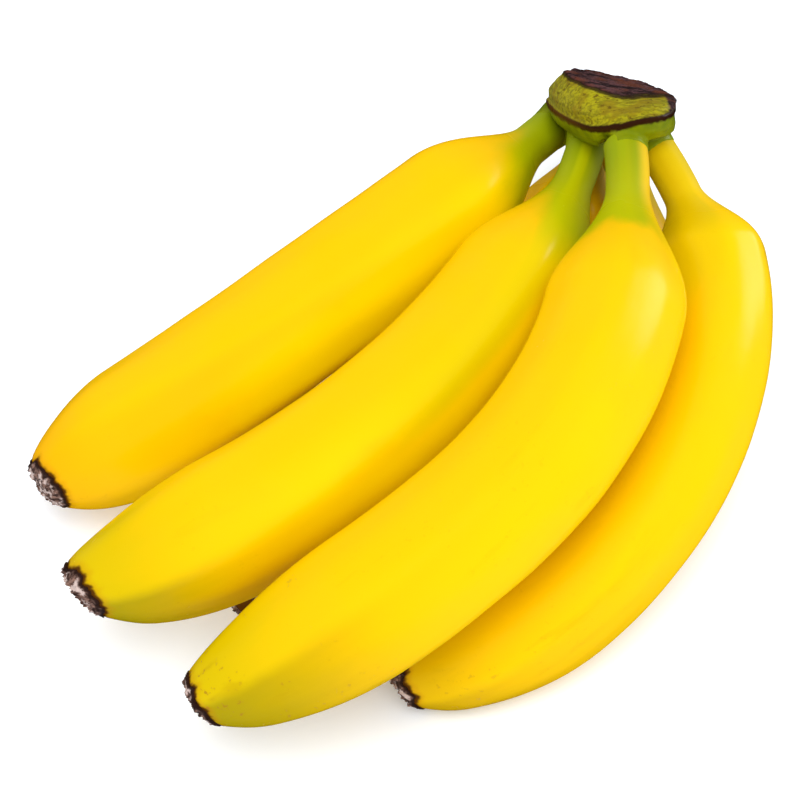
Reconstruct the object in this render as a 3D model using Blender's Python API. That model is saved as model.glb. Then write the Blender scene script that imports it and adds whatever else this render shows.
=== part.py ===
"""A hand of six bananas on their crown, lying on its side.

Metres, +Z up. The hand rests on z = 0. Seen from the front (along +Y) the crown is at the upper right
and the tips point to the lower left. Each banana is one piece with its stem and its dried tip.
"""
import math
from collections import namedtuple

import bmesh
import bpy
from mathutils import Vector

MM = 0.001

# The point of the plan, in mm, that comes to stand at the origin
PLAN_CENTRE = (0.95, -7.28)

# A banana's section is a soft five-sided round, and rings of it run along a bent centre line
SIDES = 20
RINGS = 32
RING_CROWDING = 0.6
RIDGES = 5
RIDGE_HEIGHT = 0.02
CENTRE_STEPS = 240
TIP_RADIUS = 7.4 * MM
SWELL_POWER, TAPER_POWER = 0.9, 0.85
DRIED_TIP = 4 * MM
NECK_BEND_START, NECK_BEND_SPAN = 0.02, 0.30
TIP_BEND_START, TIP_BEND_SPAN = 0.60, 0.40

# root: where the stem starts in the crown, mm. heading and slope: the way from the root to the tip, degrees.
# belly: the way the outside of the bend faces, round that line from straight up. bend: the whole turn.
# neck_bend and tip_bend: the shares of the turn at the two ends. neck_lean: how far the stem leans aside.
# length, girth (the body's radius), stem (the stem's radius), neck (how long the stem stays that thin),
# shoulder and taper (how long the body takes to swell and to narrow again): mm.
Banana = namedtuple("Banana", "name root heading slope belly length bend neck_bend tip_bend neck_lean"
                              " girth stem neck shoulder taper")
SHAPES = (
    ((49.0, 91.8, 37.5), 220.0, -6.0, -44.5, 201, 58, 0.41, 0.42, 5, 18.7, 6.3, 18, 39, 33),
    ((56.5, 73.1, 50.0), 226.7, -1.0, -74.0, 219, 59, -0.04, 0.00, -4, 19.4, 5.9, 18, 48, 45),
    ((65.0, 53.4, 69.2), 232.2, -8.5, -61.0, 227, 84, -0.30, -0.27, -9, 19.1, 6.2, 18, 48, 53),
    ((74.5, 63.1, 59.1), 243.3, -12.3, -73.0, 207, 109, 0.02, 0.01, -25, 17.3, 5.7, 18, 23, 52),
    ((63.3, 91.4, 42.4), 244.1, -7.4, -128.3, 198, 46, 0.30, -0.10, -25, 14.7, 5.8, 13, 23, 43),
    ((66.0, 76.2, 42.5), 252.0, -11.3, -130.1, 193, 96, 0.23, -0.19, 0, 15.5, 5.8, 13, 37, 45),
)
BANANAS = [Banana(f"banana_{number}", *shape) for number, shape in enumerate(SHAPES, 1)]

# The crown is a flat oval cushion with a trimmed band above it and the dried cut face on top
CROWN_SIDES = 40
CROWN_SLOPE = 53
CROWN_TURN = 21
CROWN_LONG, CROWN_SHORT = 31 * MM, 16.2 * MM
CROWN_SQUARENESS = 2.3
CROWN_LEVELS = ((1.6, 0.72), (2.8, 0.88), (5.1, 0.97), (7.6, 1.0), (9.4, 1.0), (9.8, 0.97), (15.9, 0.79))
COLLAR_BACK, COLLAR_LENGTH = 4 * MM, 5 * MM
COLLAR_ROOT_WALL, COLLAR_LIP_WALL = 3.0 * MM, 0.9 * MM
COLLAR_RINGS = 5
SOCKET_LENGTH = 16 * MM
FIT_GAP = 0.3 * MM

PEEL_YELLOW = (0.93, 0.64, 0.02, 1)
DRIED_BROWN = (0.05, 0.025, 0.015, 1)
CROWN_GREEN = (0.40, 0.42, 0.05, 1)


def smooth(x):
    """Rises from 0 to 1 as x does, level at both ends."""
    x = min(max(x, 0.0), 1.0)
    return x * x * (3 - 2 * x)


def material(name, colour, roughness):
    mat = bpy.data.materials.new(name)
    mat.use_nodes = True
    shader = mat.node_tree.nodes["Principled BSDF"]
    shader.inputs["Base Color"].default_value = colour
    shader.inputs["Roughness"].default_value = roughness
    shader.inputs["Metallic"].default_value = 0.0
    return mat


def chord_frame(banana):
    """The line from root to tip, the way the belly faces, and the third axis square to both."""
    heading, slope, belly = (math.radians(a) for a in (banana.heading, banana.slope, banana.belly))
    level = math.cos(slope)
    chord = Vector((level * math.cos(heading), level * math.sin(heading), math.sin(slope)))
    upward = (Vector((0, 0, 1)) - chord.z * chord).normalized()
    outward = math.cos(belly) * upward + math.sin(belly) * chord.cross(upward)
    return chord, outward, chord.cross(outward)


def centre_line(banana):
    """Points and directions along the bent middle of a banana, from its root to its tip."""
    chord, outward, sideways = chord_frame(banana)
    bend, lean = math.radians(banana.bend), math.radians(banana.neck_lean)
    even = 1 - banana.neck_bend - banana.tip_bend
    tangents = []
    for k in range(CENTRE_STEPS + 1):
        u = k / CENTRE_STEPS
        neck = smooth((u - NECK_BEND_START) / NECK_BEND_SPAN)
        tip = smooth((u - TIP_BEND_START) / TIP_BEND_SPAN)
        turned = even * u + banana.neck_bend * neck + banana.tip_bend * tip
        angle, side_angle = bend * (0.5 - turned), lean * (1 - neck)
        in_bend = math.cos(angle) * chord + math.sin(angle) * outward
        tangents.append(math.cos(side_angle) * in_bend + math.sin(side_angle) * sideways)
    step = banana.length * MM / CENTRE_STEPS
    centre = Vector((PLAN_CENTRE[0], PLAN_CENTRE[1], 0))
    points = [(Vector(banana.root) - centre) * MM]
    for before, after in zip(tangents, tangents[1:]):
        points.append(points[-1] + (before + after) / 2 * step)
    return points, tangents


def radius_at(banana, along):
    """The mean radius at a distance from the root: stem, shoulder, body, then the taper to the tip."""
    girth, stem = banana.girth * MM, banana.stem * MM
    swell = smooth((along - banana.neck * MM) / (banana.shoulder * MM))
    head = stem + (girth - stem) * swell ** SWELL_POWER
    left = min((banana.length * MM - along) / (banana.taper * MM), 1.0)
    blunt = TIP_RADIUS / girth
    return head * (blunt + (1 - blunt) * (1 - (1 - left) ** 2) ** TAPER_POWER)


def at_share(values, share):
    """The value a share of the way along an evenly spaced list."""
    place = min(max(share, 0.0), 1.0) * (len(values) - 1)
    index = min(int(place), len(values) - 2)
    return values[index].lerp(values[index + 1], place - index)


def loft(name, rings):
    """A closed mesh through rings of points that all have the same count."""
    mesh = bmesh.new()
    rows = [[mesh.verts.new(p) for p in ring] for ring in rings]
    for low, high in zip(rows, rows[1:]):
        for k in range(len(low)):
            n = (k + 1) % len(low)
            mesh.faces.new((low[k], low[n], high[n], high[k]))
    mesh.faces.new(reversed(rows[0]))
    mesh.faces.new(rows[-1])
    bmesh.ops.recalc_face_normals(mesh, faces=mesh.faces)
    data = bpy.data.meshes.new(name)
    mesh.to_mesh(data)
    mesh.free()
    obj = bpy.data.objects.new(name, data)
    bpy.context.scene.collection.objects.link(obj)
    return obj


def banana_rings(banana):
    points, tangents = centre_line(banana)
    outward = chord_frame(banana)[1]
    length = banana.length * MM
    shares = []
    for k in range(RINGS + 1):
        even = k / RINGS
        shares.append(even - RING_CROWDING * math.sin(2 * math.pi * even) / (2 * math.pi))
    shares.insert(-1, 1 - DRIED_TIP / length)
    shares.sort()
    rings = []
    for share in shares:
        centre, along = at_share(points, share), at_share(tangents, share).normalized()
        front = (outward - outward.dot(along) * along).normalized()
        side = along.cross(front)
        radius = radius_at(banana, share * length)
        fullness = (radius - banana.stem * MM) / ((banana.girth - banana.stem) * MM)
        ridge = RIDGE_HEIGHT * min(max(fullness, 0.0), 1.0)
        ring = []
        for k in range(SIDES):
            turn = 2 * math.pi * k / SIDES
            reach = radius * (1 + ridge * math.cos(RIDGES * turn))
            ring.append(centre + reach * (math.cos(turn) * front + math.sin(turn) * side))
        rings.append(ring)
    return rings


def rest_flat(obj):
    """Cuts off what reaches below the surface, so that the banana rests on a small flat spot."""
    mesh = bmesh.new()
    mesh.from_mesh(obj.data)
    everything = mesh.verts[:] + mesh.edges[:] + mesh.faces[:]
    cut = bmesh.ops.bisect_plane(mesh, geom=everything, dist=1e-7, plane_co=(0, 0, 0), plane_no=(0, 0, -1),
                                 clear_outer=True)
    rim = [edge for edge in cut["geom_cut"] if isinstance(edge, bmesh.types.BMEdge)]
    if rim:
        bmesh.ops.contextual_create(mesh, geom=rim)
        for vert in mesh.verts:
            if abs(vert.co.z) < 1e-6:
                vert.co.z = 0.0
        bmesh.ops.recalc_face_normals(mesh, faces=mesh.faces)
    mesh.to_mesh(obj.data)
    mesh.free()


def shade(obj, angle=40):
    obj.data.shade_smooth()
    obj.data.set_sharp_from_angle(angle=math.radians(angle))


def make_banana(banana, peel, dried):
    obj = loft(banana.name, banana_rings(banana))
    obj.data.materials.append(peel)
    obj.data.materials.append(dried)
    tip = at_share(centre_line(banana)[0], 1.0)
    for face in obj.data.polygons:
        if (face.center - tip).length < TIP_RADIUS + FIT_GAP:
            face.material_index = 1
    rest_flat(obj)
    shade(obj)
    return obj


def stem_tube(banana, name, start, end, start_extra, end_extra):
    """A closed tube round a stem, from one distance along it to another, wider than it by the extras."""
    points, tangents = centre_line(banana)
    outward = chord_frame(banana)[1]
    rings = []
    for k in range(COLLAR_RINGS):
        part_way = k / (COLLAR_RINGS - 1)
        share = (start + (end - start) * part_way) / (banana.length * MM)
        centre, along = at_share(points, share), at_share(tangents, share).normalized()
        if share < 0:
            centre = points[0] + along * share * banana.length * MM
        front = (outward - outward.dot(along) * along).normalized()
        side = along.cross(front)
        extra = start_extra + (end_extra - start_extra) * part_way
        radius = radius_at(banana, max(share, 0) * banana.length * MM) + extra
        turns = [2 * math.pi * n / SIDES for n in range(SIDES)]
        rings.append([centre + radius * (math.cos(t) * front + math.sin(t) * side) for t in turns])
    return loft(name, rings)


def boolean(target, tools, operation):
    """Joins or cuts a solid with others, which are then removed."""
    for tool in tools:
        step = target.modifiers.new(operation, "BOOLEAN")
        step.operation = operation
        step.solver = "EXACT"
        step.object = tool
        bpy.context.view_layer.update()
        done = bpy.data.meshes.new_from_object(target.evaluated_get(bpy.context.evaluated_depsgraph_get()))
        target.modifiers.remove(step)
        target.data = done
        bpy.data.objects.remove(tool)


def make_crown(green, dried):
    slope, turn = math.radians(CROWN_SLOPE), math.radians(CROWN_TURN)
    axis = Vector((0, math.cos(slope), math.sin(slope)))
    down = Vector((0, -math.sin(slope), math.cos(slope)))
    across = Vector((1, 0, 0))
    long_way = math.cos(turn) * down + math.sin(turn) * across
    short_way = axis.cross(long_way)
    roots = [centre_line(banana)[0][0] for banana in BANANAS]
    middle = sum(roots, Vector()) / len(roots)
    rings = []
    for level, scale in CROWN_LEVELS:
        ring = []
        for k in range(CROWN_SIDES):
            angle = 2 * math.pi * k / CROWN_SIDES
            c, s = math.cos(angle), math.sin(angle)
            reach = (abs(c) ** CROWN_SQUARENESS + abs(s) ** CROWN_SQUARENESS) ** (-1 / CROWN_SQUARENESS)
            place = CROWN_LONG * c * reach * long_way + CROWN_SHORT * s * reach * short_way
            ring.append(middle + level * MM * axis + scale * place)
        rings.append(ring)
    crown = loft("crown", rings)
    walls = COLLAR_ROOT_WALL, COLLAR_LIP_WALL
    collars = [stem_tube(b, b.name + "_collar", -COLLAR_BACK, COLLAR_LENGTH, *walls) for b in BANANAS]
    boolean(crown, collars, "UNION")
    gaps = FIT_GAP, FIT_GAP
    sockets = [stem_tube(b, b.name + "_socket", -FIT_GAP, SOCKET_LENGTH, *gaps) for b in BANANAS]
    boolean(crown, sockets, "DIFFERENCE")
    crown.data.materials.clear()
    crown.data.materials.append(green)
    crown.data.materials.append(dried)
    top = (middle + CROWN_LEVELS[-1][0] * MM * axis).dot(axis)
    for face in crown.data.polygons:
        if face.center.dot(axis) > top - FIT_GAP:
            face.material_index = 1
    shade(crown, 30)
    return crown


def main():
    for obj in list(bpy.data.objects):
        bpy.data.objects.remove(obj)
    peel = material("peel", PEEL_YELLOW, 0.45)
    dried = material("dried_tip", DRIED_BROWN, 0.85)
    for banana in BANANAS:
        make_banana(banana, peel, dried)
    make_crown(material("crown_green", CROWN_GREEN, 0.55), material("crown_cut", DRIED_BROWN, 0.85))


main()
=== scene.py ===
"""The looks of a hand of six ripe bananas on its trimmed crown, lying on its side.

Metres, +Z up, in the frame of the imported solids. Each banana's peel is swept along the same bent centre line
as its solid, and carries its place along and round the fruit, which its colours and its bumps follow.
"""

import math
import random
from collections import namedtuple
from dataclasses import dataclass

import bmesh
import bpy
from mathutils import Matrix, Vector


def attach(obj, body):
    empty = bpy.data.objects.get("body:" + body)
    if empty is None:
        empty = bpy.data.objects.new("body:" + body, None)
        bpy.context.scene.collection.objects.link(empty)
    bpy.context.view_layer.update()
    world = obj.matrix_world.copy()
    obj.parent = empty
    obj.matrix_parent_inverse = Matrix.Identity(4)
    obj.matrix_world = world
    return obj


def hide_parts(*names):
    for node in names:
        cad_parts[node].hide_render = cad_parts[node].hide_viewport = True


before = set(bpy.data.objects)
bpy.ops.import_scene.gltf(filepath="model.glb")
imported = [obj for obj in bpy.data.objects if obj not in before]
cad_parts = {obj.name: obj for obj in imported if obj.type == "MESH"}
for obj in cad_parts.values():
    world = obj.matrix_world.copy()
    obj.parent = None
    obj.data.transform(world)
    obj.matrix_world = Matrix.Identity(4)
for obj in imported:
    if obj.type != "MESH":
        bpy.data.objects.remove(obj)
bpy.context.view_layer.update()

MM = 0.001


def srgb(red, green, blue):
    """The linear colour of three values from 0 to 255 as a screen shows them."""
    linear = []
    for value in (red, green, blue):
        v = value / 255
        linear.append(v / 12.92 if v <= 0.04045 else ((v + 0.055) / 1.055) ** 2.4)
    return (*linear, 1.0)


# The hand's own sizes, as in the solids
PLAN_CENTRE = Vector((0.95, -7.28, 0))
CENTRE_STEPS = 240
TIP_RADIUS = 7.4 * MM
SWELL_POWER, TAPER_POWER = 0.9, 0.85
NECK_BEND_START, NECK_BEND_SPAN = 0.02, 0.30
TIP_BEND_START, TIP_BEND_SPAN = 0.60, 0.40

# root: where the stem starts in the crown, mm. heading and slope: the way from the root to the tip, degrees.
# belly: the way the outside of the bend faces, round that line from straight up. bend: the whole turn.
# neck_bend and tip_bend: the shares of the turn at the two ends. neck_lean: how far the stem leans aside.
# length, girth (the body's radius), stem (the stem's radius), neck (how long the stem stays that thin),
# shoulder and taper (how long the body takes to swell and to narrow again): mm.
Banana = namedtuple("Banana", "name root heading slope belly length bend neck_bend tip_bend neck_lean"
                              " girth stem neck shoulder taper")
SHAPES = (
    ((49.0, 91.8, 37.5), 220.0, -6.0, -44.5, 201, 58, 0.41, 0.42, 5, 18.7, 6.3, 18, 39, 33),
    ((56.5, 73.1, 50.0), 226.7, -1.0, -74.0, 219, 59, -0.04, 0.00, -4, 19.4, 5.9, 18, 48, 45),
    ((65.0, 53.4, 69.2), 232.2, -8.5, -61.0, 227, 84, -0.30, -0.27, -9, 19.1, 6.2, 18, 48, 53),
    ((74.5, 63.1, 59.1), 243.3, -12.3, -73.0, 207, 109, 0.02, 0.01, -25, 17.3, 5.7, 18, 23, 52),
    ((63.3, 91.4, 42.4), 244.1, -7.4, -128.3, 198, 46, 0.30, -0.10, -25, 14.7, 5.8, 13, 23, 43),
    ((66.0, 76.2, 42.5), 252.0, -11.3, -130.1, 193, 96, 0.23, -0.19, 0, 15.5, 5.8, 13, 37, 45),
)
BANANAS = [Banana(f"banana_{number}", *shape) for number, shape in enumerate(SHAPES, 1)]

# The peel: its own tone, its clouds, its tone near the tip, its painted shade below a ridge, and the tones of
# one side, painted lighter or darker as light and shade
LEMON, GOLD, AMBER, SHADED = srgb(231, 181, 1), srgb(230, 176, 1), srgb(226, 156, 1), srgb(206, 152, 1)
LIGHTENED_YELLOW, PALE, DEEP, OCHRE = srgb(240, 212, 1), srgb(233, 199, 1), srgb(238, 194, 1), srgb(214, 160, 1)
# The greens of the stem near the crown and further out, of a ridge, and of the tip above its ridge and below
# it, where it is painted darker as shade
STEM_GREEN, NECK_GREEN, RIDGE_GREEN = srgb(134, 148, 2), srgb(168, 171, 1), srgb(188, 186, 1)
TIP_GREEN, TIP_GREEN_SHADED = srgb(190, 172, 1), srgb(160, 142, 1)
# Blemishes, and the browning beside the dried tip
SPECK_BROWN, SMUDGE_OLIVE = srgb(150, 98, 6), srgb(160, 128, 3)
SCORCHED, BURNT = srgb(180, 116, 2), srgb(70, 32, 4)
# The dried tips: fibres, the hollows between them, pale pink painted highlights and the torn edge
FIBRE_BROWN, FIBRE_GREY, HOLLOW_BROWN = srgb(70, 40, 30), srgb(140, 106, 92), srgb(52, 26, 18)
HIGHLIGHT_PINK, EDGE_BROWN = srgb(206, 184, 176), srgb(48, 20, 8)
# The crown: cushion and collars, the trimmed band and its patches and flecks, the line, and the cut face
CUSHION_DARK, CUSHION_LIGHT, COLLAR_GREEN = srgb(102, 117, 2), srgb(128, 137, 2), srgb(132, 146, 2)
# Painted shade in the crease down the cushion's front
CREASE_SHADE_GREEN = srgb(52, 64, 1)
BAND_DARK, BAND_LIGHT = srgb(116, 110, 2), srgb(156, 148, 4)
BAND_PATCH, BAND_FLECK = srgb(130, 108, 2), srgb(92, 70, 1)
LINE_OLIVE, LINE_BROWN = srgb(84, 52, 8), srgb(46, 21, 6)
FACE_BLACK, FACE_PURPLE = srgb(36, 18, 20), srgb(90, 56, 58)
FACE_RUST, FACE_RIM = srgb(94, 46, 26), srgb(36, 18, 10)


@dataclass
class Ripeness:
    """How ripe and how worn a banana is, and where light and shade are painted on it. Lengths are mm, turns
    are degrees from the outside of its bend.
    """
    # How green the stem is, to how far from the root, how softly that ends, the side on which it goes on
    # further, how much further, and how much weaker the green is on the far side
    green: float = 1.0
    green_until: float = 16
    green_fade: float = 16
    green_turn: float = 0
    green_side: float = 10
    bare: float = 0.3
    # The side painted in another tone as painted light and shade, and that tone
    painted_light_turn: float = 0
    side: tuple = OCHRE
    # Where a ridge runs half way along, how far the ridges turn along the fruit, how green that ridge is, to
    # how far from the root, and how much shade is painted below it
    ridge_turn: float = 0
    twist: float = -30
    streak: float = 0.0
    streak_reach: float = 60
    facet_shade: float = 0.3
    # The green at the tip, how far it reaches back, and how many marks the peel has
    tip_green: float = 0.2
    tip_reach: float = 30
    marks: float = 0.3
    # The side on which the tip is dried furthest back, how much further, and how far elsewhere
    dry_turn: float = 60
    dry_depth: float = 2.0
    dry_least: float = 1.8
    # What makes its marks and its torn tip differ from the others'
    seed: float = 0.0
    # How far the end leans out on its upper left, and how far it is drawn back
    slant: float = 0.0
    short: float = 0.0


RIPENESS = {
    "banana_1": Ripeness(green_until=17, green_fade=22, green_turn=335, green_side=14, bare=0.2,
                         painted_light_turn=300, side=LIGHTENED_YELLOW, ridge_turn=18, twist=60, facet_shade=0.2,
                         tip_green=0.0, tip_reach=20, marks=0.1,
                         dry_turn=8, dry_depth=5.0, dry_least=0.9, seed=1.0, slant=0.8),
    "banana_2": Ripeness(green_until=24, green_fade=22, green_turn=20, green_side=22, bare=0.2,
                         painted_light_turn=345, side=PALE, ridge_turn=42, twist=-48, streak=0.5, streak_reach=110,
                         facet_shade=0.25, tip_green=1.0, tip_reach=46, marks=0.2,
                         dry_turn=35, dry_depth=2.6, dry_least=1.2, seed=2.0, slant=2.4, short=0.4),
    "banana_3": Ripeness(green_until=37, green_fade=9, green_turn=150, green_side=3, bare=0.9,
                         painted_light_turn=340, side=DEEP, ridge_turn=52, twist=-36, streak=0.1, facet_shade=0.4,
                         tip_green=1.0, tip_reach=60, marks=1.0,
                         dry_depth=0.4, dry_least=1.2, seed=3.0, slant=1.3, short=1.0),
    "banana_4": Ripeness(green=0.35, green_until=12, green_fade=20, green_turn=112, green_side=42, bare=0.8,
                         painted_light_turn=355, side=DEEP, ridge_turn=60, twist=-90, facet_shade=0.4,
                         tip_green=0.6, tip_reach=40, marks=0.5,
                         dry_depth=2.5, dry_least=1.2, seed=4.0, slant=1.8, short=1.5),
    "banana_5": Ripeness(green=0.4, seed=5.0, short=-3.0),
    "banana_6": Ripeness(green=0.4, seed=6.0),
}

# The peel's ridges: how proud, how many and how sharp they are, and the mean height that they leave out.
# FULLER: how much the peel is fuller than its solid. Dents: how broad (a noise scale) and how deep
RIDGE, RIDGES, CREST_POWER, CREST_MEAN, FULLER = 0.046, 5, 3.0, 0.31, 0.012
DENT_SCALE, DENT_DEPTH = 28.0, 0.9 * MM
# How far the peel's end is drawn in under the dried tip, and over what length
TUCKED_IN, TUCKED_LENGTH = 1.6 * MM, 2.0 * MM
# The dried tips: how uneven their edge is and how narrow it may get, how far they sink in and stand out,
# their fibres and wrinkles, how far they close, how hollow, lumpy and jagged their ends are, which side leans
# out, and over what length
TORN_DEPTH, DRY_NARROWEST = 8.0 * MM, 0.7 * MM
SUNK, PROUD = 0.9 * MM, 0.45 * MM
FIBRE_DEPTH, WRINKLE_DEPTH = 1.3 * MM, 1.0 * MM
CLOSING, HOLLOW, LUMP_HEIGHT, JAG_DEPTH = 0.8 * MM, 2.2 * MM, 1.8 * MM, 4.5 * MM
SLANT_TURN, SLANT_REACH = math.radians(115), 16 * MM
# How much one seed moves the noise of a torn edge
SEED_STEP = 0.37

# How finely the peel and the dried tips are cut. RING_CROWDING: how much closer the rings lie at the ends
RING_CROWDING = 0.6
PEEL_SIDES, PEEL_RINGS, PEEL_END_RINGS = 120, 320, 6
TIP_SIDES, TIP_RINGS, TIP_END_RINGS = 180, 60, 24
# How far a dried tip reaches back from the fruit's end and out beyond it
TIP_BACK, TIP_FRONT = 9.0 * MM, 0.8 * MM

# The crown is a flat oval cushion with a trimmed band above it and the dried cut face on top: the slope of
# its axis and the turn of its long way in degrees, its half sizes, and how square its oval is
CROWN_SLOPE, CROWN_TURN = 53, 16
CROWN_LONG, CROWN_SHORT, CROWN_SQUARENESS = 32.5 * MM, 15.2 * MM, 2.3
# Its rings: how far each is above the crown's middle in mm, and its scale
CROWN_LEVELS = ((1.6, 0.72), (2.8, 0.88), (5.1, 0.97), (7.6, 1.0), (9.4, 1.0), (9.8, 0.98),
                (11.6, 1.10), (13.8, 1.09), (15.9, 1.0))
CROWN_SIDES = 120
LINE_LEVEL, CUT_LEVEL = 9.6 * MM, 15.9 * MM
# The cushion reaches a little forward, and hangs lower round one place on its front left
CROWN_FORWARD, DIP, DIP_PLACE, DIP_REACH = 2.0 * MM, 2.8 * MM, -8 * MM, 17 * MM
# It is tucked in below on the left up to some level, rises to the right, and reaches less far back
TUCK, TUCK_LEVEL, RISE, BACK = 3.4 * MM, 8 * MM, 0.085, 0.95
# The cut face lies further to the right, slopes down to the right and is turned, and has its own half sizes
CUT_SHIFT, CUT_TILT, CUT_TURN = 2.0 * MM, 0.21, 14
CUT_LONG, CUT_SHORT = 15.5 * MM, 14.4 * MM
# How far it bends up at its front right, for each metre forward and each metre to the right
CUT_TWIST = 13.0
# From left to right: where the brown line turns reddish, and where the dark torn end begins
REDDISH_START, REDDISH_END = -16 * MM, -6 * MM
TORN_START, TORN_END = 14.6 * MM, 15.6 * MM
# The crease down the cushion's front: its place from left to right, and its depth
CREASE_PLACE, CREASE_DEPTH = -2.4 * MM, 2.0 * MM
# How far the cut face is folded, the whole skin is wavy, and the ledge at the line stands out
FOLD_HEIGHT, WAVE_HEIGHT, LEDGE_HEIGHT = 3.6 * MM, 1.0 * MM, 0.35 * MM
# Where a sleeve starts and ends along each stem, and its wall at the start, mm
SLEEVES = {"banana_1": (-10, 8, 2.8), "banana_2": (-4, 5, 1.6), "banana_3": (-4, 3.5, 0.8),
           "banana_4": (-4, 2.5, 1.5), "banana_5": (-8, 5, 3.0), "banana_6": (-9, 5, 3.0)}
SLEEVE_LIP_WALL = 0.3 * MM
SLEEVE_SIDES, SLEEVE_RINGS = 48, 16
# The torn fibres: how many, and how finely they are cut
STRANDS, STRAND_RINGS, STRAND_SIDES = 9, 14, 7
STRAND_SEED = 4
# The cells in which the cushion, the sleeves and the fibres are grown together, and the smoothing after that
CROWN_VOXEL = 0.45 * MM
SMOOTHING, SMOOTHING_ROUNDS = 0.5, 7

# The floor lies a hair lower than the fruit, so that none of its flat spots is in the floor's plane
FLOOR_GAP, FLOOR_WIDTH = 0.05 * MM, 8

# The camera stands where the photograph was taken from
CAMERA_PLACE = Vector((-0.95, -402.04, 585.93)) * MM
CAMERA_AIM = Vector((-0.95, 7.28, 18.07)) * MM
CAMERA_LENS, CAMERA_SENSOR = 107.5, 36


class Socket:
    """An output socket of a node tree. Python's operators on it add Math or Vector Math nodes."""

    def __init__(self, nodes, output):
        self.nodes, self.output = nodes, output

    def is_vector(self):
        return self.output.type in ("VECTOR", "RGBA", "ROTATION")

    def maths(self, operation, other, flipped=False):
        pair = (other, self) if flipped else (self, other)
        vectors = [isinstance(p, (tuple, Vector)) or isinstance(p, Socket) and p.is_vector() for p in pair]
        if not any(vectors):
            return self.nodes.add("ShaderNodeMath", {0: pair[0], 1: pair[1]}, operation=operation)
        if operation == "MULTIPLY" and not all(vectors):
            vector, number = pair if vectors[0] else pair[::-1]
            return self.nodes.add("ShaderNodeVectorMath", {0: vector, "Scale": number}, operation="SCALE")
        return self.nodes.add("ShaderNodeVectorMath", {0: pair[0], 1: pair[1]}, operation=operation)

    def __add__(self, other):
        return self.maths("ADD", other)

    def __radd__(self, other):
        return self.maths("ADD", other, True)

    def __sub__(self, other):
        return self.maths("SUBTRACT", other)

    def __rsub__(self, other):
        return self.maths("SUBTRACT", other, True)

    def __mul__(self, other):
        return self.maths("MULTIPLY", other)

    def __rmul__(self, other):
        return self.maths("MULTIPLY", other, True)

    def __truediv__(self, other):
        return self.maths("DIVIDE", other)

    def __rtruediv__(self, other):
        return self.maths("DIVIDE", other, True)

    def __pow__(self, other):
        return self.maths("POWER", other)


class Nodes:
    """Adds nodes to one tree."""

    def __init__(self, tree):
        self.tree = tree

    def node(self, kind, values=(), **settings):
        """A node of that type. The settings are set first, then the values or links of its sockets."""
        node = self.tree.nodes.new(kind)
        for name, value in settings.items():
            setattr(node, name, value)
        for key, value in dict(values).items():
            socket = node.inputs[key]
            if isinstance(key, str):
                socket = next(s for s in node.inputs if s.name == key and s.enabled)
            if isinstance(value, Socket):
                self.tree.links.new(value.output, socket)
            else:
                socket.default_value = value
        return node

    def add(self, kind, values=(), output=None, **settings):
        """The named output, or else the first one in use, of a new node."""
        node = self.node(kind, values, **settings)
        used = [s for s in node.outputs if s.enabled]
        return Socket(self, used[0] if output is None else next(s for s in used if s.name == output))

    def maths(self, operation, *values):
        return self.add("ShaderNodeMath", dict(enumerate(values)), operation=operation)

    def vector(self, operation, *values):
        return self.add("ShaderNodeVectorMath", dict(enumerate(values)), operation=operation)

    def dot(self, first, second):
        places = {0: first, 1: second}
        return self.add("ShaderNodeVectorMath", places, output="Value", operation="DOT_PRODUCT")

    def ease(self, value, start, end, low=0.0, high=1.0):
        """Goes smoothly from low to high as the value goes from start to end."""
        places = {"Value": value, "From Min": start, "From Max": end, "To Min": low, "To Max": high}
        return self.add("ShaderNodeMapRange", places, interpolation_type="SMOOTHSTEP")

    def noise(self, place, scale, detail, roughness=0.5):
        values = {"Vector": place, "Scale": scale, "Detail": detail, "Roughness": roughness}
        return self.add("ShaderNodeTexNoise", values, output="Fac")

    def blend(self, factor, first, second):
        """The first colour where the factor is 0, the second where it is 1."""
        values = {"Factor": factor, "A": first, "B": second}
        return self.add("ShaderNodeMix", values, data_type="RGBA", clamp_factor=True)

    def bump(self, height, distance, strength, under=None):
        values = {"Height": height, "Distance": distance, "Strength": strength}
        if under is not None:
            values["Normal"] = under
        return self.add("ShaderNodeBump", values)

    def combine(self, x, y, z):
        return self.add("ShaderNodeCombineXYZ", {0: x, 1: y, 2: z})

    def parts(self, vector):
        node = self.node("ShaderNodeSeparateXYZ", {0: vector})
        return [Socket(self, s) for s in node.outputs]

    def stored(self, name, kind="FLOAT"):
        """An attribute that the mesh carries."""
        if self.tree.type == "GEOMETRY":
            return self.add("GeometryNodeInputNamedAttribute", {"Name": name}, data_type=kind)
        return self.add("ShaderNodeAttribute", output="Fac" if kind == "FLOAT" else "Vector",
                        attribute_type="GEOMETRY", attribute_name=name)


def new_material(name):
    """A material's nodes and its shader."""
    material = bpy.data.materials.new(name)
    material.use_nodes = True
    return material, Nodes(material.node_tree), material.node_tree.nodes["Principled BSDF"]


def feed(nodes, shader, **values):
    """Sets or links the shader's sockets. Underscores stand for the spaces in their names."""
    for key, value in values.items():
        socket = shader.inputs[key.replace("_", " ")]
        if isinstance(value, Socket):
            nodes.tree.links.new(value.output, socket)
        else:
            socket.default_value = value


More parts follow.
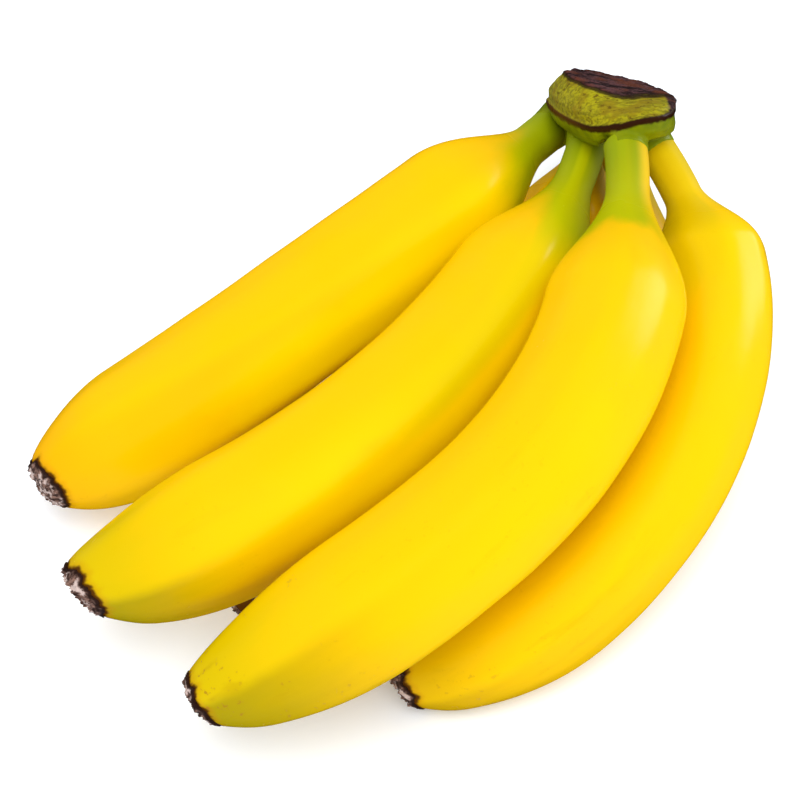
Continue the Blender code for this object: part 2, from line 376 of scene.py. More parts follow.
class Rule:
    """A Geometry Nodes tree with named inputs, whose result is turned into a plain mesh."""

    def __init__(self, name, inputs):
        self.tree = bpy.data.node_groups.new(name, "GeometryNodeTree")
        self.sockets = {}
        kinds = {float: "NodeSocketFloat", Vector: "NodeSocketVector", bpy.types.Mesh: "NodeSocketGeometry"}
        face = self.tree.interface
        for title, kind in inputs.items():
            self.sockets[title] = face.new_socket(title, in_out="INPUT", socket_type=kinds[kind])
        face.new_socket("Geometry", in_out="OUTPUT", socket_type="NodeSocketGeometry")
        self.nodes = Nodes(self.tree)
        self.entry = self.tree.nodes.new("NodeGroupInput")

    def given(self, title):
        return Socket(self.nodes, self.entry.outputs[title])

    def end(self, geometry, material):
        """Realize Instances and Set Material close the tree."""
        real = self.nodes.add("GeometryNodeRealizeInstances", {"Geometry": geometry})
        shaded = self.nodes.add("GeometryNodeSetShadeSmooth", {"Geometry": real})
        painted = self.nodes.add("GeometryNodeSetMaterial", {"Geometry": shaded, "Material": material})
        self.nodes.node("NodeGroupOutput", {0: painted})

    def make(self, name, values, start=None):
        """A plain mesh object from the tree, its inputs set by their sockets' identifiers."""
        obj = bpy.data.objects.new(name, start or bpy.data.meshes.new(name))
        bpy.context.scene.collection.objects.link(obj)
        modifier = obj.modifiers.new(name, "NODES")
        modifier.node_group = self.tree
        for title, value in values.items():
            modifier[self.sockets[title].identifier] = value
        bpy.context.view_layer.update()
        graph = bpy.context.evaluated_depsgraph_get()
        mesh = bpy.data.meshes.new_from_object(obj.evaluated_get(graph), depsgraph=graph)
        obj.modifiers.remove(modifier)
        obj.data = mesh
        mesh.name = name
        return obj


def smooth(x):
    """Rises from 0 to 1 as x does, level at both ends."""
    x = min(max(x, 0.0), 1.0)
    return x * x * (3 - 2 * x)


def chord_frame(banana):
    """The line from root to tip, the way the belly faces, and the third axis square to both."""
    heading, slope, belly = (math.radians(a) for a in (banana.heading, banana.slope, banana.belly))
    level = math.cos(slope)
    chord = Vector((level * math.cos(heading), level * math.sin(heading), math.sin(slope)))
    upward = (Vector((0, 0, 1)) - chord.z * chord).normalized()
    outward = math.cos(belly) * upward + math.sin(belly) * chord.cross(upward)
    return chord, outward, chord.cross(outward)


def tangent_at(banana, share):
    """The way a banana's middle runs at a share of its length."""
    chord, outward, sideways = chord_frame(banana)
    neck = smooth((share - NECK_BEND_START) / NECK_BEND_SPAN)
    tip = smooth((share - TIP_BEND_START) / TIP_BEND_SPAN)
    even = 1 - banana.neck_bend - banana.tip_bend
    turned = even * share + banana.neck_bend * neck + banana.tip_bend * tip
    angle = math.radians(banana.bend) * (0.5 - turned)
    side_angle = math.radians(banana.neck_lean) * (1 - neck)
    in_bend = math.cos(angle) * chord + math.sin(angle) * outward
    return math.cos(side_angle) * in_bend + math.sin(side_angle) * sideways


def centre_at(banana, distance):
    """A point of a banana's middle, a distance from its root. Before the root it goes straight on."""
    point = (Vector(banana.root) - PLAN_CENTRE) * MM
    if distance <= 0:
        return point + tangent_at(banana, 0) * distance
    steps = max(2, math.ceil(CENTRE_STEPS * distance / (banana.length * MM)))
    for k in range(steps):
        share = (k + 0.5) / steps * distance / (banana.length * MM)
        point += tangent_at(banana, share) * distance / steps
    return point


SWEEP_INPUTS = {
    "Root": Vector, "Chord": Vector, "Outward": Vector, "Length": float, "Bend": float, "Neck bend": float,
    "Tip bend": float, "Neck lean": float, "Girth": float, "Stem": float, "Neck": float, "Shoulder": float,
    "Taper": float, "Ridge turn": float, "Twist": float, "Dry turn": float, "Dry depth": float,
    "Dry least": float, "Seed": float, "Slant": float, "Short": float,
}


def sweep_values(banana):
    """The values of the sweep's inputs for one banana, in metres and radians."""
    chord, outward, _ = chord_frame(banana)
    look = RIPENESS[banana.name]
    return {
        "Root": (Vector(banana.root) - PLAN_CENTRE) * MM, "Chord": chord, "Outward": outward,
        "Length": banana.length * MM, "Bend": math.radians(banana.bend), "Neck bend": float(banana.neck_bend),
        "Tip bend": float(banana.tip_bend), "Neck lean": math.radians(banana.neck_lean),
        "Girth": banana.girth * MM, "Stem": banana.stem * MM, "Neck": banana.neck * MM,
        "Shoulder": banana.shoulder * MM, "Taper": banana.taper * MM,
        "Ridge turn": math.radians(look.ridge_turn), "Twist": math.radians(look.twist),
        "Dry turn": math.radians(look.dry_turn), "Dry depth": look.dry_depth * MM,
        "Dry least": look.dry_least * MM, "Seed": look.seed, "Slant": look.slant * MM,
        "Short": look.short * MM,
    }


class Sweep(Rule):
    """What the peel and the dried tip share: the bent centre line, and the radius along it."""

    def __init__(self, name):
        super().__init__(name, SWEEP_INPUTS)
        n = self.nodes
        index = n.add("GeometryNodeInputIndex")
        line = n.add("GeometryNodeMeshLine", {"Count": CENTRE_STEPS + 1})
        step = self.given("Length") / float(CENTRE_STEPS)
        here, first = self.tangent(index / float(CENTRE_STEPS)), self.tangent(0.0)
        so_far = n.add("GeometryNodeAccumulateField", {"Value": here}, data_type="FLOAT_VECTOR")
        place = self.given("Root") + (so_far - (here + first) * 0.5) * step
        bent = n.add("GeometryNodeSetPosition", {"Geometry": line, "Position": place})
        self.curve = n.add("GeometryNodeMeshToCurve", {"Mesh": bent})

    def tangent(self, share):
        n = self.nodes
        neck = n.ease(share, NECK_BEND_START, NECK_BEND_START + NECK_BEND_SPAN)
        tip = n.ease(share, TIP_BEND_START, TIP_BEND_START + TIP_BEND_SPAN)
        neck_bend, tip_bend = self.given("Neck bend"), self.given("Tip bend")
        turned = (1 - neck_bend - tip_bend) * share + neck_bend * neck + tip_bend * tip
        angle = self.given("Bend") * (0.5 - turned)
        side_angle = self.given("Neck lean") * (1 - neck)
        chord, outward = self.given("Chord"), self.given("Outward")
        sideways = n.vector("CROSS_PRODUCT", chord, outward)
        in_bend = chord * n.maths("COSINE", angle) + outward * n.maths("SINE", angle)
        return in_bend * n.maths("COSINE", side_angle) + sideways * n.maths("SINE", side_angle)

    def radius(self, distance):
        """The mean radius at a distance from the root: stem, shoulder, body, then the taper to the tip."""
        n = self.nodes
        girth, stem = self.given("Girth"), self.given("Stem")
        swell = n.ease((distance - self.given("Neck")) / self.given("Shoulder"), 0.0, 1.0)
        head = stem + (girth - stem) * swell ** SWELL_POWER
        left = n.maths("MINIMUM", (self.given("Length") - distance) / self.given("Taper"), 1.0)
        left = n.maths("MAXIMUM", left, 0.0)
        blunt = TIP_RADIUS / girth
        return head * (blunt + (1 - blunt) * (1 - (1 - left) ** 2.0) ** TAPER_POWER)

    def axes(self, share):
        """The centre, the way along, and the two ways across, at a share of the length."""
        n = self.nodes
        capped = n.maths("MINIMUM", share, 1.0)
        centre = n.add("GeometryNodeSampleCurve", {"Curves": self.curve, "Factor": capped}, output="Position",
                       mode="FACTOR")
        along = n.vector("NORMALIZE", self.tangent(capped))
        centre = centre + along * ((share - capped) * self.given("Length"))
        outward = self.given("Outward")
        flat = outward - along * n.dot(outward, along)
        front = n.vector("NORMALIZE", flat)
        return centre, along, front, n.vector("CROSS_PRODUCT", along, front)

    def dried(self, turn):
        """Where the noises are read round the fruit, and how far from the end the peel is dried there."""
        n = self.nodes
        seed = self.given("Seed") * SEED_STEP
        ringwise = n.combine(n.maths("COSINE", turn) + seed, n.maths("SINE", turn), seed)
        lobe = n.ease(n.maths("COSINE", turn - self.given("Dry turn")), 0.35, 1.0)
        torn = (n.noise(ringwise, 2.2, 3.0, 0.62) - 0.5) * TORN_DEPTH
        reach = self.given("Dry least") + self.given("Dry depth") * lobe + torn * (0.4 + 0.6 * lobe)
        return ringwise, n.maths("MAXIMUM", reach, DRY_NARROWEST)

    def lean(self, turn, to_end):
        """How far the last of the fruit is moved along its middle, so that it ends aslant."""
        n = self.nodes
        aslant = self.given("Slant") * n.maths("COSINE", turn - SLANT_TURN) - self.given("Short")
        return aslant * n.ease(to_end, SLANT_REACH, 0.0)

    def keep_up(self, position):
        """Nothing reaches below the surface that the hand lies on."""
        x, y, z = self.nodes.parts(position)
        return self.nodes.combine(x, y, self.nodes.maths("MAXIMUM", z, 0.0))

    def drum(self, sides, rings, end_rings):
        """A drum whose points carry their turn and their reach from its middle, and their heights in it."""
        n = self.nodes
        counts = {"Vertices": sides, "Side Segments": rings, "Fill Segments": end_rings}
        drum = n.add("GeometryNodeMeshCylinder", {**counts, "Radius": 1.0, "Depth": 1.0}, output="Mesh",
                     fill_type="TRIANGLE_FAN")
        x, y, z = n.parts(n.add("GeometryNodeInputPosition"))
        drum = self.store(drum, "turn", n.maths("ARCTAN2", y, x))
        return self.store(drum, "reach", n.maths("SQRT", x * x + y * y)), z

    def store(self, geometry, name, value, kind="FLOAT"):
        values = {"Geometry": geometry, "Name": name, "Value": value}
        return self.nodes.add("GeometryNodeStoreNamedAttribute", values, data_type=kind, domain="POINT")


def peel_rule(material):
    """The peel: a soft five-sided round, swept from the root to the tip."""
    rule = Sweep("peel_sweep")
    n = rule.nodes
    drum, height = rule.drum(PEEL_SIDES, PEEL_RINGS, PEEL_END_RINGS)
    even = height + 0.5
    share = even - n.maths("SINE", even * (2 * math.pi)) * (RING_CROWDING / (2 * math.pi))
    drum = rule.store(drum, "share", share)
    share, turn, reach = (n.stored(name) for name in ("share", "turn", "reach"))
    distance = share * rule.given("Length")
    to_end = rule.given("Length") - distance
    centre, along, front, side = rule.axes(share)
    radius = rule.radius(distance)
    stem, girth = rule.given("Stem"), rule.given("Girth")
    fullness = n.maths("MINIMUM", n.maths("MAXIMUM", (radius - stem) / (girth - stem), 0.25), 1.0)
    ridge = rule.given("Ridge turn") + rule.given("Twist") * (share - 0.5)
    wave = n.maths("COSINE", (turn - ridge) * float(RIDGES))
    crest = ((wave + 1) * 0.5) ** CREST_POWER - CREST_MEAN
    cos_turn, sin_turn = n.maths("COSINE", turn), n.maths("SINE", turn)
    across = front * cos_turn + side * sin_turn
    on_skin = centre + across * radius + n.combine(rule.given("Seed"), 0.0, 0.0)
    dents = n.noise(on_skin, DENT_SCALE, 1.0) - 0.5
    full = radius * (1 + RIDGE * fullness * crest + FULLER) + dents * DENT_DEPTH * fullness
    full = full - n.ease(to_end, TUCKED_LENGTH, 0.0, 0.0, TUCKED_IN)
    drum = rule.store(drum, "halo", to_end - rule.dried(turn)[1])
    straight = n.combine(cos_turn * radius * reach, sin_turn * radius * reach, distance)
    drum = rule.store(drum, "straight", straight, "FLOAT_VECTOR")
    moved = rule.keep_up(centre + across * (full * reach) + along * rule.lean(turn, to_end))
    rule.end(n.add("GeometryNodeSetPosition", {"Geometry": drum, "Position": moved}), material)
    return rule


def tip_rule(material):
    """The dried end: a ragged sheath round the last of the peel, and its broken hollow face."""
    rule = Sweep("tip_sweep")
    n = rule.nodes
    drum, height = rule.drum(TIP_SIDES, TIP_RINGS, TIP_END_RINGS)
    drum = rule.store(drum, "forward", height + 0.5)
    forward, turn, reach = (n.stored(name) for name in ("forward", "turn", "reach"))
    length = rule.given("Length")
    to_end = TIP_BACK - forward * (TIP_BACK + TIP_FRONT)
    distance = length - to_end
    centre, along, front, side = rule.axes(distance / length)
    cos_turn, sin_turn = n.maths("COSINE", turn), n.maths("SINE", turn)
    across = front * cos_turn + side * sin_turn
    seed = rule.given("Seed") * SEED_STEP
    ringwise, dried = rule.dried(turn)
    past = dried - to_end
    proud = n.ease(past, -0.5 * MM, 0.5 * MM, -SUNK, PROUD)
    fibre = n.noise(n.combine(cos_turn * 7.0, sin_turn * 7.0, forward * 3.0 + seed), 1.6, 4.0, 0.65) - 0.5
    wrinkle = n.noise(n.combine(cos_turn * 3.0 + seed, sin_turn * 3.0, forward * 9.0), 1.8, 3.0, 0.6) - 0.5
    loose = n.ease(past, 0.0, 1.0 * MM) * n.ease(to_end, 3.0 * MM, 0.0, 0.4, 1.0)
    closing = n.ease(to_end, 1.2 * MM, -1.2 * MM, 0.0, CLOSING)
    rim = rule.radius(distance) * (1 + FULLER) + proud - closing
    rim = rim + (fibre * FIBRE_DEPTH + wrinkle * WRINKLE_DEPTH) * loose
    on_end = n.maths("COMPARE", forward, 1.0, 0.001)
    hollow = (1 - reach ** 3.0) * on_end * HOLLOW
    end_place = n.combine(cos_turn * reach * 5.0 + seed, sin_turn * reach * 5.0, seed)
    lumps = (n.noise(end_place, 1.5, 4.0, 0.7) - 0.5) * on_end * LUMP_HEIGHT
    jagged = (n.noise(ringwise, 3.4, 4.0, 0.7) - 0.5) * JAG_DEPTH * n.ease(to_end, 1.6 * MM, -0.8 * MM)
    lift = along * (jagged * reach - hollow + lumps + rule.lean(turn, to_end) * reach)
    drum = rule.store(drum, "past", past)
    straight = n.combine(cos_turn * reach, sin_turn * reach, forward)
    drum = rule.store(drum, "straight", straight, "FLOAT_VECTOR")
    moved = rule.keep_up(centre + across * (rim * reach) + lift)
    rule.end(n.add("GeometryNodeSetPosition", {"Geometry": drum, "Position": moved}), material)
    return rule


def peel_material(name, look, length):
    """Waxy yellow peel: green at the stem, on one ridge and at the tip, with specks and a brown end, painted
    shade below a ridge, and one side painted in another tone as light and shade.

    Its noises are read on the fruit as if it were straight, so that they follow it round and along.
    """
    material, n, shader = new_material(name)
    straight = n.stored("straight", "FLOAT_VECTOR")
    x, y, distance = n.parts(straight)
    round_it = n.vector("NORMALIZE", n.combine(x, y, 0.0))

    def facing(degrees):
        """1 on the side of that turn, falling to -1 on the far side."""
        angle = math.radians(degrees)
        return n.dot(round_it, (math.cos(angle), math.sin(angle), 0.0))

    to_tip = length * MM - distance
    place = straight + (look.seed, 0.0, 0.0)
    stretched = n.vector("MULTIPLY", place, (1.0, 1.0, 0.18))
    broad = n.noise(place, 16.0, 2.0)
    cloudy = n.noise(place, 55.0, 3.0)
    grain = n.noise(stretched, 420.0, 3.0, 0.6)
    # Painted light and shade: one side is painted in another tone, lighter for banana_1 to banana_4 and darker
    # (OCHRE) for the rest
    painted_light_side = n.ease(facing(look.painted_light_turn) + (broad - 0.5) * 0.6, 0.0, 1.0)
    painted_light_side = painted_light_side * n.ease(to_tip, 25 * MM, 80 * MM, 0.25, 1.0)
    colour = n.blend(painted_light_side, LEMON, look.side)
    colour = n.blend(n.ease(cloudy, 0.50, 0.80, 0.0, 0.3), colour, GOLD)
    colour = n.blend(n.ease(to_tip, 3 * MM, 30 * MM, 0.5, 0.0), colour, AMBER)
    ragged = (n.noise(stretched, 130.0, 3.0) - 0.5) * 14 * MM
    reach = look.green_until * MM + n.ease(facing(look.green_turn), 0.1, 1.0) * look.green_side * MM
    strength = look.green * n.ease(facing(look.green_turn + 180), 0.35, 0.95, 1.0, 1.0 - look.bare)
    neck = n.ease(distance + ragged, reach, reach + look.green_fade * MM, 1.0, 0.0) * strength
    green = n.blend(n.ease(distance, 4 * MM, 34 * MM), STEM_GREEN, NECK_GREEN)
    colour = n.blend(neck, colour, green)
    ridge = (distance / (length * MM) - 0.5) * math.radians(look.twist) + math.radians(look.ridge_turn)
    cos_ridge, sin_ridge = n.maths("COSINE", ridge), n.maths("SINE", ridge)
    on_ridge = n.dot(round_it, n.combine(cos_ridge, sin_ridge, 0.0))
    beyond = n.dot(round_it, n.combine(sin_ridge, 0.0 - cos_ridge, 0.0))
    # Painted shade: the facet below the ridge is darkened towards SHADED, more near the tip
    below = n.ease(beyond + (cloudy - 0.5) * 0.2, -0.12, 0.20) * n.ease(on_ridge, -0.2, 0.4)
    ends = n.ease(distance + ragged, look.streak_reach * MM, (look.streak_reach + 35) * MM, look.streak, 0.0)
    colour = n.blend(n.ease(on_ridge, 0.93, 0.995) * ends, colour, RIDGE_GREEN)
    facet_shade = below * n.ease(to_tip, 20 * MM, 130 * MM, look.facet_shade, look.facet_shade * 0.2)
    colour = n.blend(facet_shade * 0.5, colour, SHADED)
    # The tip's green is painted darker below the ridge, as painted shade
    at_tip = n.ease(to_tip + ragged, 4 * MM, look.tip_reach * MM, look.tip_green, 0.0) * (0.8 + 0.2 * below)
    colour = n.blend(at_tip, colour, n.blend(below, TIP_GREEN, TIP_GREEN_SHADED))
    speck = n.noise(place, 620.0, 2.0)
    patch = n.noise(place, 60.0, 2.0)
    near_tip = n.ease(to_tip, 8 * MM, 60 * MM, 1.0, 0.12)
    specks = n.ease(speck, 0.63, 0.71) * n.ease(patch, 0.47, 0.62) * near_tip * look.marks
    colour = n.blend(specks * 0.7, colour, SPECK_BROWN)
    smudge = n.ease(n.noise(stretched, 150.0, 4.0, 0.6), 0.55, 0.7) * n.ease(patch, 0.4, 0.65) * look.marks
    smudge = smudge * n.ease(to_tip, 30 * MM, 80 * MM, 1.0, 0.25)
    colour = n.blend(smudge * 0.45, colour, SMUDGE_OLIVE)
    halo = n.stored("halo") + (n.noise(place, 320.0, 3.0) - 0.5) * 2.8 * MM
    colour = n.blend(n.ease(halo, 3.6 * MM, 0.6 * MM, 0.0, 0.4), colour, SCORCHED)
    colour = n.blend(n.ease(halo, 1.5 * MM, 0.2 * MM, 0.0, 0.95), colour, BURNT)
    pores = n.bump(grain, 0.10 * MM, 0.3)
    skin = n.bump(n.noise(place, 210.0, 2.0), 0.22 * MM, 0.3, pores)
    wax = n.ease(cloudy, 0.35, 0.7, 0.20, 0.27) + n.ease(distance, 34 * MM, 14 * MM, 0.0, 0.35)
    feed(n, shader, Base_Color=colour, Roughness=wax + specks * 0.2, Normal=skin,
         Specular_IOR_Level=0.08)
    return material


def dried_material():
    """The dry brown tissue of the tips: a dark torn edge, grey-brown fibres and pale pink patches of painted
    highlight.
    """
    material, n, shader = new_material("dried_tip")
    straight = n.stored("straight", "FLOAT_VECTOR")
    place = n.add("ShaderNodeTexCoord", output="Object")
    fibres = n.noise(n.vector("MULTIPLY", straight, (1.0, 1.0, 0.3)), 12.0, 4.0, 0.65)
    lumps = n.noise(place, 480.0, 4.0, 0.65)
    highlight_patches = n.noise(place, 300.0, 3.0, 0.6)
    past = n.stored("past")
    colour = n.blend(n.ease(fibres, 0.38, 0.62), FIBRE_BROWN, FIBRE_GREY)
    colour = n.blend(n.ease(lumps, 0.38, 0.56), HOLLOW_BROWN, colour)
    # Painted highlight: pale pink patches on the dried tissue away from its edge
    pale = n.ease(highlight_patches, 0.50, 0.60) * n.ease(past, 0.8 * MM, 1.8 * MM)
    colour = n.blend(pale * 0.9, colour, HIGHLIGHT_PINK)
    edge = n.ease(past + (lumps - 0.5) * 1.2 * MM, 0.7 * MM, 1.7 * MM, 1.0, 0.0)
    colour = n.blend(edge, colour, EDGE_BROWN)
    rough = n.bump(lumps, 0.9 * MM, 0.8, n.bump(fibres, 0.6 * MM, 0.6))
    feed(n, shader, Base_Color=colour, Roughness=n.ease(lumps, 0.3, 0.7, 0.62, 0.9), Normal=rough)
    return material


def crown_frame():
    """The crown's middle, its axis up to the cut face, and the ways forward and to the right across it."""
    slope = math.radians(CROWN_SLOPE)
    axis = Vector((0, math.cos(slope), math.sin(slope)))
    forward = Vector((0, -math.sin(slope), math.cos(slope)))
    roots = [centre_at(banana, 0) for banana in BANANAS]
    return sum(roots, Vector()) / len(roots), axis, forward, Vector((1, 0, 0))


def crown_point(level, angle, scale):
    """A point of the crown's side at a level and an angle round its axis, and the way outward there."""
    middle, axis, forward, right = crown_frame()
    above = max(level - LINE_LEVEL, 0) / (CUT_LEVEL - LINE_LEVEL)
    c, s = math.cos(angle), math.sin(angle)
    turn = math.radians(CROWN_TURN + (CUT_TURN - CROWN_TURN) * above)
    long_way = math.cos(turn) * forward + math.sin(turn) * right
    short_way = axis.cross(long_way)
    reach = (abs(c) ** CROWN_SQUARENESS + abs(s) ** CROWN_SQUARENESS) ** (-1 / CROWN_SQUARENESS)
    start_long = CROWN_LONG * (BACK if c < 0 else 1)
    half_long = start_long + (CUT_LONG - start_long) * above
    half_short = CROWN_SHORT + (CUT_SHORT - CROWN_SHORT) * above
    place = scale * reach * (half_long * c * long_way + half_short * s * short_way)
    dip = DIP * smooth(1 - abs(place.x - DIP_PLACE) / DIP_REACH) - RISE * max(place.x + CROWN_SHORT, 0)
    lift = level - dip * (1 - above) - CUT_TILT * above * place.x
    lift += CUT_TWIST * above * max(place.x, 0) * max(place.dot(forward), 0)
    under = smooth(1 - level / TUCK_LEVEL)
    shift = Vector((CUT_SHIFT * above + TUCK * under, 0, 0)) + CROWN_FORWARD * (1 - above) * forward
    return middle + lift * axis + place + shift, place.normalized()


def crown_height(n, place):
    """A point's height in the cushion, its place from left to right, and how far it is below the cut face."""
    middle, axis, forward, _ = crown_frame()
    height = n.dot(place, axis) - middle.dot(axis)
    across = n.parts(place)[0] - middle.x
    dip = n.ease(n.maths("ABSOLUTE", across - DIP_PLACE), 0.0, DIP_REACH, DIP, 0.0)
    rise = n.maths("MAXIMUM", across + CROWN_SHORT, 0.0) * RISE
    ahead = n.maths("MAXIMUM", n.dot(place, forward) - middle.dot(forward), 0.0)
    corner = ahead * n.maths("MAXIMUM", across - CUT_SHIFT, 0.0) * CUT_TWIST
    return height + dip - rise, across, CUT_LEVEL - CUT_TILT * (across - CUT_SHIFT) + corner - height


def crown_material():
    """Smooth green below, a dried brown line, a trimmed yellow-green band, the dark cut face, and painted
    shade in the crease down the cushion's front.
    """
    material, n, shader = new_material("crown_stalk")
    place = n.add("ShaderNodeTexCoord", output="Object")
    height, across, below_cut = crown_height(n, place)
    wobble = (n.noise(place, 300.0, 3.0, 0.6) - 0.5) * 1.8 * MM
    patches = n.noise(place, 140.0, 3.0)
    fibres = n.noise(n.vector("MULTIPLY", place, (0.45, 1.0, 1.0)), 900.0, 4.0, 0.65)
    flecks = n.noise(place, 620.0, 3.0, 0.6)
    level = height + wobble * 0.6
    above = n.ease(level, LINE_LEVEL - 0.4 * MM, LINE_LEVEL + 0.4 * MM)
    cushion = n.blend(n.ease(patches, 0.35, 0.7), CUSHION_DARK, CUSHION_LIGHT)
    cushion = n.blend(n.ease(level, LINE_LEVEL - 4 * MM, LINE_LEVEL - 9 * MM), cushion, COLLAR_GREEN)
    band = n.blend(n.ease(fibres, 0.38, 0.62), BAND_DARK, BAND_LIGHT)
    band = n.blend(n.ease(patches, 0.46, 0.62, 0.0, 0.65), band, BAND_PATCH)
    band = n.blend(n.ease(flecks, 0.57, 0.66, 0.0, 0.8), band, BAND_FLECK)
    colour = n.blend(n.ease(level, LINE_LEVEL - 0.2 * MM, LINE_LEVEL + 0.3 * MM), cushion, band)
    line = n.ease(level + wobble * 0.5, LINE_LEVEL - 2.3 * MM, LINE_LEVEL - 1.3 * MM)
    line = line * n.ease(level, LINE_LEVEL - 0.1 * MM, LINE_LEVEL + 0.5 * MM, 1.0, 0.0)
    reddish = n.ease(across, REDDISH_START, REDDISH_END)
    colour = n.blend(line, colour, n.blend(reddish, LINE_OLIVE, LINE_BROWN))
    # Painted shade: the crease down the cushion's front is painted dark green below the line
    crease = n.ease(n.maths("ABSOLUTE", across - CREASE_PLACE + wobble), 0.2 * MM, 1.8 * MM, 1.0, 0.0)
    crease = crease * n.ease(level, LINE_LEVEL - 1.8 * MM, LINE_LEVEL - 3.4 * MM)
    colour = n.blend(crease * 0.85, colour, CREASE_SHADE_GREEN)
    streaks = n.noise(n.vector("MULTIPLY", place, (0.3, 1.0, 1.0)), 420.0, 4.0, 0.65)
    dark = n.blend(n.ease(streaks, 0.38, 0.64), FACE_BLACK, FACE_PURPLE)
    dark = n.blend(n.ease(patches, 0.45, 0.62, 0.0, 0.75), dark, FACE_RUST)
    torn_end = n.ease(across + wobble, TORN_START, TORN_END) * above
    near_cut = below_cut + wobble * 0.5
    face = n.maths("MAXIMUM", n.ease(near_cut, 1.0 * MM, 0.4 * MM), torn_end)
    colour = n.blend(face, colour, dark)
    rim = n.ease(near_cut, 1.6 * MM, 1.1 * MM) * n.ease(near_cut, 0.1 * MM, 0.6 * MM)
    colour = n.blend(rim * 0.85, colour, FACE_RIM)
    rough = n.bump(n.noise(place, 380.0, 4.0, 0.65), 0.9 * MM, face * 0.9)
    skin = n.bump(fibres, 0.25 * MM, 0.6, rough)
    feed(n, shader, Base_Color=colour, Roughness=0.34 + 0.2 * above + 0.3 * face, Normal=skin,
         Specular_IOR_Level=0.13)
    return material


def loft(mesh, rings):
    """Adds a closed skin through rings of points that all have the same count."""
    rows = [[mesh.verts.new(p) for p in ring] for ring in rings]
    for low, high in zip(rows, rows[1:]):
        for k in range(len(low)):
            n = (k + 1) % len(low)
            mesh.faces.new((low[k], low[n], high[n], high[k]))
    mesh.faces.new(reversed(rows[0]))
    mesh.faces.new(rows[-1])


def crown_rings():
    """The cushion's and the band's rings."""
    rings = []
    for level, scale in CROWN_LEVELS:
        angles = [2 * math.pi * k / CROWN_SIDES for k in range(CROWN_SIDES)]
        rings.append([crown_point(level * MM, angle, scale)[0] for angle in angles])
    return rings


def strand_rings(draw):
    """One torn fibre, hanging from the cut face's right end down to the brown line."""
    axis = crown_frame()[1]
    angle, spread = draw.uniform(0.75, 1.6), draw.uniform(-0.12, 0.12)
    thick, bulge = draw.uniform(0.45, 0.75) * MM, draw.uniform(0.0, 0.7) * MM
    start, end = CUT_LEVEL + draw.uniform(-1.5, 0.3) * MM, LINE_LEVEL + draw.uniform(-1.0, 2.5) * MM
    rings = []
    for k in range(STRAND_RINGS):
        part_way = k / (STRAND_RINGS - 1)
        level = start + (end - start) * part_way
        centre, out = crown_point(level, angle + spread * part_way, 1.0)
        centre += out * bulge * math.sin(math.pi * part_way)
        side = axis.cross(out)
        radius = thick * (1 - 0.7 * part_way)
        turns = [2 * math.pi * n / STRAND_SIDES for n in range(STRAND_SIDES)]
        rings.append([centre + radius * (math.cos(t) * out + math.sin(t) * side) for t in turns])
    return rings


def sleeve_rings(banana):
    """The stalk's skin round a stem, which thins out along it."""
    outward = chord_frame(banana)[1]
    start, end, root_wall = (value * MM for value in SLEEVES[banana.name])
    rings = []
    for k in range(SLEEVE_RINGS):
        part_way = k / (SLEEVE_RINGS - 1)
        distance = start + (end - start) * part_way
        centre = centre_at(banana, distance)
        along = tangent_at(banana, max(distance, 0) / (banana.length * MM))
        front = (outward - outward.dot(along) * along).normalized()
        side = along.cross(front)
        wall = SLEEVE_LIP_WALL + (root_wall - SLEEVE_LIP_WALL) * (1 - part_way) ** 1.5
        radius = (banana.stem * MM + wall) * math.sqrt(max(1 - (min(distance, 0) / start) ** 2, 0.04))
        turns = [2 * math.pi * n / SLEEVE_SIDES for n in range(SLEEVE_SIDES)]
        rings.append([centre + radius * (math.cos(t) * front + math.sin(t) * side) for t in turns])
    return rings


def crown_rule(material):
    """Roughens the crown's skin: a folded cut face, a ledge at the brown line, a crease and faint waves."""
    rule = Rule("crown_skin", {"Geometry": bpy.types.Mesh})
    n = rule.nodes
    place = n.add("GeometryNodeInputPosition")
    height, across, below_cut = crown_height(n, place)
    face = n.ease(below_cut, 2.0 * MM, 0.6 * MM)
    folds = n.noise(n.vector("MULTIPLY", place, (0.4, 1.0, 1.0)), 260.0, 4.0, 0.65) - 0.5
    folds = folds * face * FOLD_HEIGHT
    waves = (n.noise(place, 110.0, 2.0) - 0.5) * WAVE_HEIGHT
    ledge = n.ease(height, LINE_LEVEL - 1.8 * MM, LINE_LEVEL - 0.8 * MM)
    ledge = ledge * n.ease(height, LINE_LEVEL, LINE_LEVEL + 0.8 * MM, 1.0, 0.0) * LEDGE_HEIGHT
    crease = n.ease(n.maths("ABSOLUTE", across - CREASE_PLACE), 0.0, 2.6 * MM, -CREASE_DEPTH, 0.0)
    crease = crease * n.ease(height, LINE_LEVEL - 1.6 * MM, LINE_LEVEL - 3.6 * MM)
    offset = n.add("GeometryNodeInputNormal") * (folds + waves + ledge + crease)
    moved = n.add("GeometryNodeSetPosition", {"Geometry": rule.given("Geometry"), "Offset": offset})
    rule.end(moved, material)
    return rule


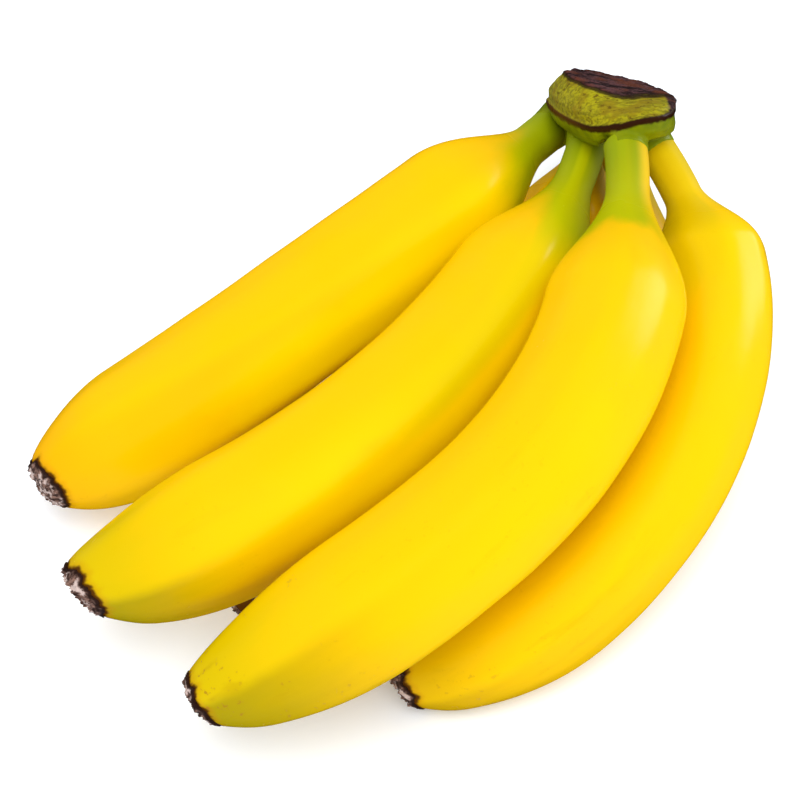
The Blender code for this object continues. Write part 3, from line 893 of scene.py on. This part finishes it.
def make_crown(material):
    """The cushion, the sleeves and the torn fibres, grown together in one skin."""
    mesh = bmesh.new()
    loft(mesh, crown_rings())
    for banana in BANANAS:
        loft(mesh, sleeve_rings(banana))
    draw = random.Random(STRAND_SEED)
    for _ in range(STRANDS):
        loft(mesh, strand_rings(draw))
    bmesh.ops.recalc_face_normals(mesh, faces=mesh.faces)
    data = bpy.data.meshes.new("crown_start")
    mesh.to_mesh(data)
    mesh.free()
    rough = bpy.data.objects.new("crown_start", data)
    bpy.context.scene.collection.objects.link(rough)
    grown = rough.modifiers.new("grown", "REMESH")
    grown.mode = "VOXEL"
    grown.voxel_size = CROWN_VOXEL
    soft = rough.modifiers.new("soft", "SMOOTH")
    soft.factor, soft.iterations = SMOOTHING, SMOOTHING_ROUNDS
    bpy.context.view_layer.update()
    graph = bpy.context.evaluated_depsgraph_get()
    skin = bpy.data.meshes.new_from_object(rough.evaluated_get(graph), depsgraph=graph)
    bpy.data.objects.remove(rough)
    crown = crown_rule(material).make("crown_skin", {}, skin)
    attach(crown, "root")
    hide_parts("crown")


def make_bananas():
    """Each banana's peel takes the place of its solid, and its dried tip is added to it."""
    dried = dried_material()
    tips = tip_rule(dried)
    for banana in BANANAS:
        name = banana.name + "_peel"
        values = sweep_values(banana)
        waxy = peel_material(name, RIPENESS[banana.name], banana.length)
        peel = peel_rule(waxy).make(name, values)
        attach(peel, "root")
        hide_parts(banana.name)
        tip = tips.make(banana.name + "_tip", values)
        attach(tip, "root")


def make_floor():
    """A plain white floor that only the photograph's view needs."""
    bpy.ops.mesh.primitive_plane_add(size=FLOOR_WIDTH, location=(0, 0, -FLOOR_GAP))
    floor = bpy.context.object
    floor.name = "floor"
    material, nodes, shader = new_material("floor_white")
    feed(nodes, shader, Base_Color=(0.88, 0.93, 1.0, 1), Roughness=0.8, Specular_IOR_Level=0.0,
         Emission_Color=(1, 1, 1, 1), Emission_Strength=0.12)
    floor.data.materials.append(material)
    floor.visible_glossy = False


def area_light(name, place, size, watts):
    """A round lamp that faces what the camera looks at."""
    lamp = bpy.data.lights.new(name, "AREA")
    lamp.shape, lamp.size, lamp.energy = "DISK", size, watts
    obj = bpy.data.objects.new(name, lamp)
    obj.location = place
    obj.rotation_mode = "QUATERNION"
    obj.rotation_quaternion = (CAMERA_AIM - Vector(place)).to_track_quat("-Z", "Y")
    bpy.context.scene.collection.objects.link(obj)
    return obj


def make_studio():
    """Soft light from all round, a large lamp in front, and one lamp behind on the right that only shines.

    The room and the floor stay out of the peel's reflections, so that its yellow stays deep.
    """
    world = bpy.data.worlds.new("studio")
    world.use_nodes = True
    sky = world.node_tree.nodes["Background"]
    sky.inputs["Color"].default_value = (1, 1, 1, 1)
    sky.inputs["Strength"].default_value = 1.0
    bpy.context.scene.world = world
    world.cycles_visibility.glossy = False
    area_light("key", (0.03, -0.45, 1.29), 0.8, 11).visible_glossy = False
    area_light("shine", (0.96, 0.55, 0.40), 0.55, 6).visible_diffuse = False
    scene = bpy.context.scene
    scene.view_settings.view_transform = "Standard"
    camera = bpy.data.objects.new("camera", bpy.data.cameras.new("camera"))
    camera.location = CAMERA_PLACE
    camera.rotation_mode = "QUATERNION"
    camera.rotation_quaternion = (CAMERA_AIM - CAMERA_PLACE).to_track_quat("-Z", "Y")
    camera.data.lens, camera.data.sensor_width = CAMERA_LENS, CAMERA_SENSOR
    camera.data.clip_start, camera.data.clip_end = 0.01, 20
    scene.collection.objects.link(camera)
    scene.camera = camera


make_studio()
make_floor()
make_bananas()
make_crown(crown_material())
